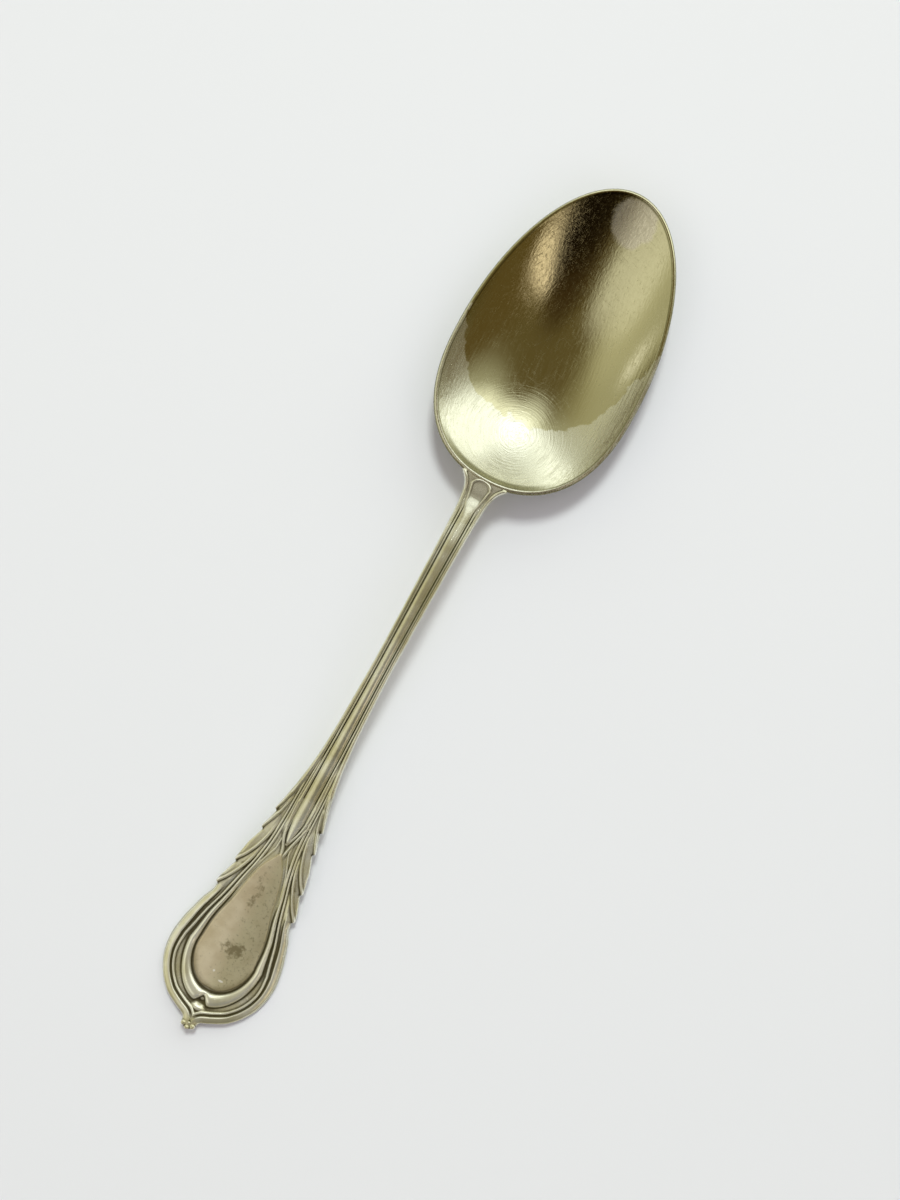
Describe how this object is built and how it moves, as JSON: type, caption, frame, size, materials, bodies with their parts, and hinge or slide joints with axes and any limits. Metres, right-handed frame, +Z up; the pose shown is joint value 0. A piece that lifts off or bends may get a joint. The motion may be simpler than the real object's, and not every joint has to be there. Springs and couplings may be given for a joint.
{
  "type": "table spoon",
  "caption": "Antique table spoon with an egg-shaped bowl, a slim reeded stem and a handle end shaped as a framed teardrop panel between overlapping leaves.",
  "frame": {"origin": "on the table, under the middle of the spoon as it lies with the bowl open upwards", "axes": "+Y along the spoon towards the tip of the bowl, +Z up, +X to the right seen from above"},
  "size_m": [0.0444, 0.21, 0.014],
  "materials": {
    "bowl_metal": "worn satin silver plate on nickel silver",
    "handle_metal": "worn silver plate with dark tarnish in the hollows",
    "panel_metal": "matt worn plate, stained"
  },
  "bodies": {
    "root": {"bowl": "bowl_metal", "neck": "handle_metal", "stem": "handle_metal", "leaf_spray": "handle_metal", "handle_plate": "handle_metal", "name_panel": "panel_metal", "end_pip": "handle_metal"}
  },
  "joints": []
}
